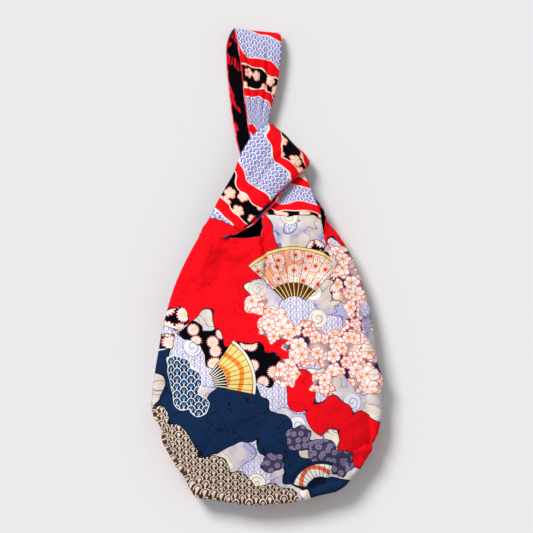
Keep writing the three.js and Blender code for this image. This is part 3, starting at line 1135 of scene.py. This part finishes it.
def kanoko(g, x, y, ground, size=5.6):
    """Rows of small tied dots."""
    a1, a2 = along(g, x, y, 38), along(g, x, y, 128)
    fx = g.math("PINGPONG", a1, size / 2)
    fy = g.math("PINGPONG", a2, size / 2)
    dd = g.fn("SQRT", g.math("MULTIPLY_ADD", fx, fx, fy * fy))
    return g.colour(g.inside(dd - size * 0.19, 0.4), ground, WHITE)


def bloom(g, P, col, at, petals, radius, fill, edge):
    """One round flower with thin petals."""
    q = g.vmath("SUBTRACT", P, (at[0], at[1], 0.0))
    r, th = polar(g, q)
    m = g.fn("ABSOLUTE", g.fn("COSINE", th * (petals / 2.0)))
    d = r - g.math("MULTIPLY_ADD", m, 0.14 * radius, 0.86 * radius)
    col = g.colour(g.inside(d, 0.4), col, fill)
    ray = g.both(g.inside(g.both(m, r) - 0.9, 0.5), g.both(g.inside(radius * 0.38 - r, 0.4), g.inside(d + 0.6, 0.4)))
    ray = g.either(ray, g.both(g.inside(g.fn("ABSOLUTE", m - 0.75) * r - 0.35, 0.4), g.inside(g.fn("ABSOLUTE", r - radius * 0.42) - radius * 0.2, 0.4)))
    return g.colour(g.either(ray, g.line(d + 0.2, 0.8, 0.4)), col, edge)


def after(g, col, P0, P, S):
    """The coordinates again, reckoned after col, so that few values wait at once."""
    out = []
    for v in (P0, P, S):
        n = g.node("ShaderNodeVectorMath")
        n.operation = "MULTIPLY_ADD"
        g.put(n.inputs[0], col)
        n.inputs[1].default_value = (1e-9, 1e-9, 1e-9)
        g.put(n.inputs[2], v)
        out.append(Value(g, n.outputs["Vector"]))
    P0, P, S = out
    return (P0, P, S, *g.parts(P0), *g.parts(P), *g.parts(S))


def fan(g, P, col, at, turn, r0, r1, half, paper, second, rib, border=GOLD):
    """A folding fan, spread by half degrees to each side of its axis."""
    q = g.vmath("SUBTRACT", P, (at[0], at[1], 0.0))
    r, th = polar(g, q)
    a = g.math("WRAP", th - math.radians(turn), math.pi, -math.pi)
    side = g.fn("ABSOLUTE", a)
    e = g.math("MINIMUM", r - r0, r1 - r)
    e = g.math("MINIMUM", e, g.both(math.radians(half) - side, r))
    mask = g.inside(-e, 0.5)
    step = math.radians(half) / 9.0
    c = paper if isinstance(paper, Value) else g.colour(g.inside(g.math("PINGPONG", r + side * 9.0, 7.0) - 2.4, 0.4), paper, second)
    edge = g.math("PINGPONG", a, step)
    c = g.colour(g.inside(g.both(edge, r) - 0.26, 0.35), c, rib)
    c = g.colour(g.inside(r1 - r - 3.4, 0.5), c, border)
    c = g.colour(g.line(r1 - r - 3.4, 0.6), c, INK)
    c = g.colour(g.inside(r - r0 - (r1 - r0) * 0.30, 0.5), c, rib)
    c = g.colour(g.both(g.inside(r - r0 - (r1 - r0) * 0.30, 0.5), g.inside(g.both(edge, r) - 0.42, 0.3)), c, border)
    c = g.colour(g.inside(e - 0.6, 0.5), c, INK)
    return g.colour(mask, col, c)




def weave(g, x, y, depth):
    """Bump of a plain weave, whose height is also returned and painted into the colour as shade of the threads."""
    pitch = 0.85
    a = g.fn("SINE", x * (2 * math.pi / pitch))
    b = g.fn("SINE", y * (2 * math.pi / pitch))
    h = g.both(a, b)
    n = g.node("ShaderNodeBump")
    n.inputs["Strength"].default_value = depth
    n.inputs["Distance"].default_value = 0.00025
    g.put(n.inputs["Height"], h)
    g.tree.links.new(n.outputs["Normal"], g.bsdf.inputs["Normal"])
    return h


def cut_coordinates(g, back=False):
    n = g.node("ShaderNodeUVMap")
    n.uv_map = "cut"
    v = Value(g, n.outputs["UV"])
    if back:
        # the back is cut the other way up, from further along the cloth
        v = g.vmath("MULTIPLY", v, (-1.0, -1.0, 0.0))
        v = g.vmath("ADD", v, (548.0, 640.0, 0.0))
    return v


def layer_clouds(g, col, P0, P, x, y, px, py, soft, tuft):
    col = clouds(g, P0, soft)
    return col


def layer_red(g, col, P0, P, x, y, px, py, soft, tuft):

    # the red ground comes down from the right and crosses to the lower left
    fold = g.math("PINGPONG", g.math("MULTIPLY_ADD", soft, 5.2, x * 0.012), 0.5)
    red = g.colour(g.inside(fold - 0.012, 0.03), RED, (0.30, 0.002, 0.006))
    d = circles(g, P, [(352, 240, 36), (312, 232, 36), (282, 236, 22), (324, 282, 34), (298, 326, 26), (268, 360, 20),
                       (240, 388, 18), (208, 412, 20), (172, 440, 26), (356, 300, 24), (284, 268, 20),
                       (284, 220, 18), (280, 248, 17), (271, 226, 11), (270, 244, 9)], 10.0)
    col = lay(g, col, d, red, INK, 0.8)
    return col


def layer_navy(g, col, P0, P, x, y, px, py, soft, tuft):

    # navy cloth with black folds, bottom and right
    fold = g.math("PINGPONG", g.math("MULTIPLY_ADD", soft, 3.2, y * 0.010), 0.5)
    navy = g.colour(g.inside(fold - 0.016, 0.03), NAVY, INK)
    d = circles(g, P, [(300, 412, 28), (334, 430, 27), (262, 436, 22), (362, 402, 26), (380, 360, 19), (236, 464, 17),
                       (206, 484, 19), (180, 500, 18), (350, 462, 16)], 12.0)
    col = lay(g, col, d, navy, INK, 0.9)
    return col


def layer_waves(g, col, P0, P, x, y, px, py, soft, tuft):
    d = circles(g, P, [(352, 384, 20), (384, 346, 22), (332, 402, 12)], 8.0)
    col = lay(g, col, d, scales(g, x, y, 15.0, NAVY, WHITE, BLUE), WHITE, 0.8)
    return col


def layer_brown(g, col, P0, P, x, y, px, py, soft, tuft):
    # brown wave scales low down
    d = circles(g, P, [(366, 452, 27), (334, 484, 27), (296, 492, 22), (258, 504, 22), (384, 418, 12)], 9.0)
    col = lay(g, col, d, scales(g, x, y, 14.0, BROWN, CREAM, GREIGE), INK, 0.9)
    return col


def layer_foliage(g, col, P0, P, x, y, px, py, soft, tuft):

    # grey-violet foliage in tufts over the lower left
    leaf = flowers(g, P0, (0.05, 0.04, 0.085), 6.6, 9, 3.9, (0.17, 0.14, 0.25), (0.34, 0.30, 0.46), (0.02, 0.015, 0.04), (0.10, 0.08, 0.15), rand=0.9)
    d = circles(g, P0, [(214, 452, 15), (238, 438, 13), (194, 462, 13), (264, 462, 11)], 7.0) + tuft * 0.5
    col = lay(g, col, d, leaf, INK, 0.8)
    return col


def layer_ink(g, col, P0, P, x, y, px, py, soft, tuft):

    # ink behind the fan
    d = circles(g, P, [(300, 356, 19), (322, 346, 15), (280, 374, 14), (344, 332, 10)], 7.0)
    ink = flowers(g, P0, INK, 17.0, 16, 6.4, WHITE, BLUSH, (0.55, 0.02, 0.02), GOLD, rand=0.9, sharp=0.7)
    col = lay(g, col, d, ink, INK, 0.8)
    return col


def layer_blossom(g, col, P0, P, x, y, px, py, soft, tuft):

    # blossom on cream
    q = g.vmath("ADD", P0, (41.0, 17.0, 0.0))
    d = circles(g, P0, [(168, 372, 22), (196, 352, 23), (232, 344, 21), (262, 326, 17), (282, 304, 11),
                        (176, 330, 15), (250, 372, 14), (214, 384, 12)], 8.0) + tuft * 0.75
    tree = g.colour(g.inside(soft - 0.5, 0.2), (0.74, 0.60, 0.52), NAVY)
    tree = flowers(g, P0, tree, 10.0, 5, 5.6, WHITE, BLUSH, (0.66, 0.02, 0.02), ORANGE, rand=0.9, spread=0.3)
    tree = flowers(g, q, tree, 14.0, 6, 7.4, WHITE, BLUSH, (0.66, 0.02, 0.02), ORANGE, rand=0.95, spread=0.4)
    col = lay(g, col, d, tree, (0.5, 0.02, 0.02), 0.7)
    return col


def layer_mums(g, col, P0, P, x, y, px, py, soft, tuft):

    # chrysanthemums on ink at the upper left and the right edge
    mums = flowers(g, P0, INK, 14.0, 16, 8.2, WHITE, BLUSH, PINK, GOLD, rand=0.6, sharp=0.6)
    d = circles(g, P0, [(210, 266, 14), (194, 290, 12), (222, 248, 9), (360, 318, 12), (372, 340, 8)], 7.0) + tuft * 0.5
    col = lay(g, col, d, mums, INK, 0.8)
    return col


def layer_fans(g, col, P0, P, x, y, px, py, soft, tuft):

    # fans: one opens under the mouth, the others lie in the middle and low
    paper = g.colour(g.inside(soft - 0.50, 0.15), CREAM, (0.80, 0.34, 0.18))
    paper = flowers(g, P0, paper, 12.0, 13, 7.2, WHITE, ORANGE, (0.50, 0.012, 0.012), (0.62, 0.02, 0.02), rand=0.8, sharp=0.7)
    for args in (((242, 312), -90, 15, 66, 45, paper, None, BROWN),
                 ((334, 384), -158, 12, 54, 33, GOLD, ORANGE, INK, CREAM),
                 ((214, 492), -62, 8, 32, 50, WHITE, CORAL, INK, NAVY)):
        col = fan(g, P0, col, *args)
    return col


def layer_straps(g, col, P0, P, x, y, px, py, soft, tuft):
    # bent bands over both straps: flowers on ink, plain red, wave scales
    band = g.math("PINGPONG", along(g, px, py, 64), 34.0)
    c = flowers(g, P0, INK, 15.0, 5, 5.6, BLUSH, WHITE, CORAL, GOLD, rand=0.6)
    c = g.colour(g.inside(band - 23.0, 0.5), c, RED)
    c = g.colour(g.line(band - 23.0, 1.0, 0.4), c, CREAM)
    c = g.colour(g.inside(band - 12.0, 0.5), c, scales(g, x, y, 12.0, PERIWINKLE, WHITE, LAVENDER))
    c = g.colour(g.line(band - 12.0, 1.0, 0.4), c, CREAM)
    return lay(g, col, y - 214.0 + (soft - 0.5) * 16.0, c, INK, 0.8)


LAYERS = [layer_clouds, layer_red, layer_navy, layer_waves, layer_brown, layer_foliage, layer_ink, layer_blossom,
          layer_mums, layer_fans, layer_straps]
GROUPS = {}


def layer_group(build):
    """The layer as a node group: colour and coordinates in, colour out."""
    if build.__name__ in GROUPS:
        return GROUPS[build.__name__]
    g = Net(build.__name__, group=True)
    face = g.tree.interface
    face.new_socket("Colour", in_out="INPUT", socket_type="NodeSocketColor")
    for n in ("Place", "Bent", "Tone"):
        face.new_socket(n, in_out="INPUT", socket_type="NodeSocketVector")
    face.new_socket("Colour", in_out="OUTPUT", socket_type="NodeSocketColor")
    enter = g.node("NodeGroupInput")
    leave = g.node("NodeGroupOutput")
    col, P0, P, S = (Value(g, enter.outputs[k]) for k in range(4))
    P0, P, S, x, y, px, py, soft, tuft = after(g, col, P0, P, S)
    col = build(g, col, P0, P, x, y, px, py, soft, tuft)
    g.tree.links.new(col.socket, leave.inputs[0])
    GROUPS[build.__name__] = g.tree
    return g.tree


def printed_cotton(name, back=False):
    g = Net(name)
    P0 = cut_coordinates(g, back)
    if not back:
        P0 = g.vmath("ADD", g.vmath("MULTIPLY", P0, (-1.0, 1.0, 0.0)), (536.0, 0.0, 0.0))
    n1 = g.noise(P0, 1 / 58.0, colour=True)
    w = g.vmath("SCALE", n1, scale=30.0)
    P = g.vmath("ADD", P0, w)
    n2 = g.noise(P0, 1 / 15.0, colour=True)
    w = g.vmath("SCALE", n2, scale=10.0)
    P = g.vmath("ADD", P, w)
    P = g.vmath("SUBTRACT", P, (20.0, 20.0, 0.0))
    P = g.vmath("MULTIPLY", P, (1.0, 1.0, 0.0))
    x, y = g.parts(P0)
    soft = g.noise(P0, 1 / 30.0, 2.0)

    # scalloped edge for what grows in tufts
    n = g.node("ShaderNodeTexVoronoi")
    n.voronoi_dimensions = "2D"
    g.put(n.inputs["Vector"], P0)
    n.inputs["Scale"].default_value = 1 / 11.0
    n.inputs["Randomness"].default_value = 0.7
    tuft = Value(g, n.outputs["Distance"]) * 11.0 - 4.2
    S = g.vector(soft, tuft)
    col = CREAM

    for build in LAYERS:
        n = g.node("ShaderNodeGroup")
        n.node_tree = layer_group(build)
        for k, v in enumerate((col, P0, P, S)):
            g.put(n.inputs[k], v)
        col = Value(g, n.outputs[0])
    finish_cloth(g, P0, x, y, col)
    return g.material


def finish_cloth(g, P0, x, y, col):
    """Uneven dye, the weave as a bump, painted shade of the weave's relief in the colour, and a slight sheen."""
    dye = g.noise(P0, 1 / 6.0, 3.0, 0.65)
    h = weave(g, x, y, 0.35)
    # the dye noise is uneven dye; the weave's height lightens the raised threads and darkens the hollows in the colour,
    # which is painted shade
    shade = g.math("MULTIPLY_ADD", dye, 0.42, g.math("MULTIPLY_ADD", h, 0.05, 0.79))
    n = g.node("ShaderNodeVectorMath")
    n.operation = "SCALE"
    g.put(n.inputs[0], col)
    g.put(n.inputs["Scale"], shade)
    g.tree.links.new(n.outputs[0], g.bsdf.inputs["Base Color"])
    rough = g.math("MULTIPLY_ADD", dye, 0.16, 0.78)
    g.put(g.bsdf.inputs["Roughness"], rough)
    g.bsdf.inputs["Specular IOR Level"].default_value = 0.03
    g.bsdf.inputs["Sheen Weight"].default_value = 0.004
    g.bsdf.inputs["Sheen Roughness"].default_value = 0.5


def lining_cotton(name, darker_as_painted_shade=False):
    g = Net(name)
    P0 = cut_coordinates(g)
    x, y = g.parts(P0)
    soft = g.noise(P0, 1 / 24.0, 2.0)
    # red with dark strokes drawn along the cloth
    stroke = g.noise(g.vmath("MULTIPLY", P0, (1 / 3.2, 1 / 34.0, 0.0)), 1.0, 1.0)
    red = g.colour(g.inside(stroke - 0.40, 0.02), (0.62, 0.006, 0.016), INK)
    col = red
    # patches here and there are print; on the back's lining they are more and darker, which is painted shade for the
    # inside of the handle loop and the mouth
    d = ((0.40 if darker_as_painted_shade else 0.50) - soft) * 40.0
    col = lay(g, col, d, INK if darker_as_painted_shade else NAVY, INK, 0.7)
    finish_cloth(g, P0, x, y, col)
    return g.material


def rolled_cotton(name):
    g = Net(name)
    P0 = cut_coordinates(g)
    x, y = g.parts(P0)
    tone = g.noise(P0, 1 / 13.0, 1.0)
    col = g.colour(g.inside(0.60 - tone, 0.05), (0.60, 0.012, 0.030), (0.80, 0.16, 0.20))
    col = g.colour(g.inside(tone - 0.36, 0.02), col, (0.02, 0.05, 0.16))
    finish_cloth(g, P0, x, y, col)
    return g.material

outer_front.data.materials.append(printed_cotton("printed_cotton_front"))
outer_back.data.materials.append(printed_cotton("printed_cotton_back", back=True))
lining_front.data.materials.append(lining_cotton("lining_cotton_front"))
# the back's lining is darkened: painted shade for the inside of the handle loop and the mouth
lining_back.data.materials.append(lining_cotton("lining_cotton_back", darker_as_painted_shade=True))
rolled = rolled_cotton("lining_cotton_roll")
rolls[0].data.materials.append(rolled)
for r, n in ((rolls[1], len(left_loop)), (rolls[2], len(right_loop))):
    # on the armholes the print turns round the edge
    r.data.materials.append(outer_front.data.materials[0])
    r.data.materials.append(outer_back.data.materials[0])
    half = n // 2
    for i, face in enumerate(r.data.polygons):
        face.material_index = 1 if i // 8 >= half else 0

# ------------------------------------------------------------------- pieces
for o, node, slot in ((outer_front, "outer_front_panel", "printed_cotton_front"),
                      (outer_back, "outer_back_panel", "printed_cotton_back"),
                      (lining_front, "lining_front_panel", "lining_cotton_front"),
                      (lining_back, "lining_back_panel", "lining_cotton_back")):
    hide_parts(node)
    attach(o, "root")
for r, slot in zip(rolls, ("lining_cotton_front", "printed_cotton_front", "printed_cotton_front")):
    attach(r, "root")

# -------------------------------------------------------------------- stage
def backdrop():
    mesh = bpy.data.meshes.new("floor")
    s = 30.0
    mesh.from_pydata([(-s, -s, -0.0002), (s, -s, -0.0002), (s, s, -0.0002), (-s, s, -0.0002)], [], [(0, 1, 2, 3)])
    o = bpy.data.objects.new("floor", mesh)
    bpy.context.scene.collection.objects.link(o)
    m = bpy.data.materials.new("pale_paper")
    m.use_nodes = True
    b = m.node_tree.nodes["Principled BSDF"]
    b.inputs["Base Color"].default_value = (0.662, 0.652, 0.657, 1)
    b.inputs["Roughness"].default_value = 0.9
    b.inputs["Specular IOR Level"].default_value = 0.1
    o.data.materials.append(m)
    return o


backdrop()
world = bpy.data.worlds.new("studio")
bpy.context.scene.world = world
world.use_nodes = True
world.node_tree.nodes["Background"].inputs["Color"].default_value = (1.0, 1.0, 1.0, 1)
world.node_tree.nodes["Background"].inputs["Strength"].default_value = 0.50


def area_light(name, at, target, size, power):
    data = bpy.data.lights.new(name, "AREA")
    data.shape = "DISK"
    data.size = size
    data.energy = power
    o = bpy.data.objects.new(name, data)
    o.location = at
    o.rotation_euler = (Vector(target) - Vector(at)).to_track_quat("-Z", "Y").to_euler()
    bpy.context.scene.collection.objects.link(o)


sun = bpy.data.lights.new("key", "SUN")
sun.energy = 3.2
sun.angle = math.radians(22)
key = bpy.data.objects.new("key", sun)
key.rotation_euler = Vector((-3.3, 4.3, 5.6)).to_track_quat("Z", "Y").to_euler()
bpy.context.scene.collection.objects.link(key)
area_light("fill", (3.2, -2.4, 3.6), (0, 0, 0), 4.0, 20)

cam = bpy.data.cameras.new("camera")
cam.sensor_width = 36
cam.lens = 36 * 5.0 / 0.533
cam.clip_end = 100
camera = bpy.data.objects.new("camera", cam)
camera.location = (0.0006, 0.0004, 5.0 + 0.025)
camera.rotation_euler = (0, 0, 0)
bpy.context.scene.collection.objects.link(camera)
bpy.context.scene.camera = camera
bpy.context.scene.view_settings.view_transform = "Standard"
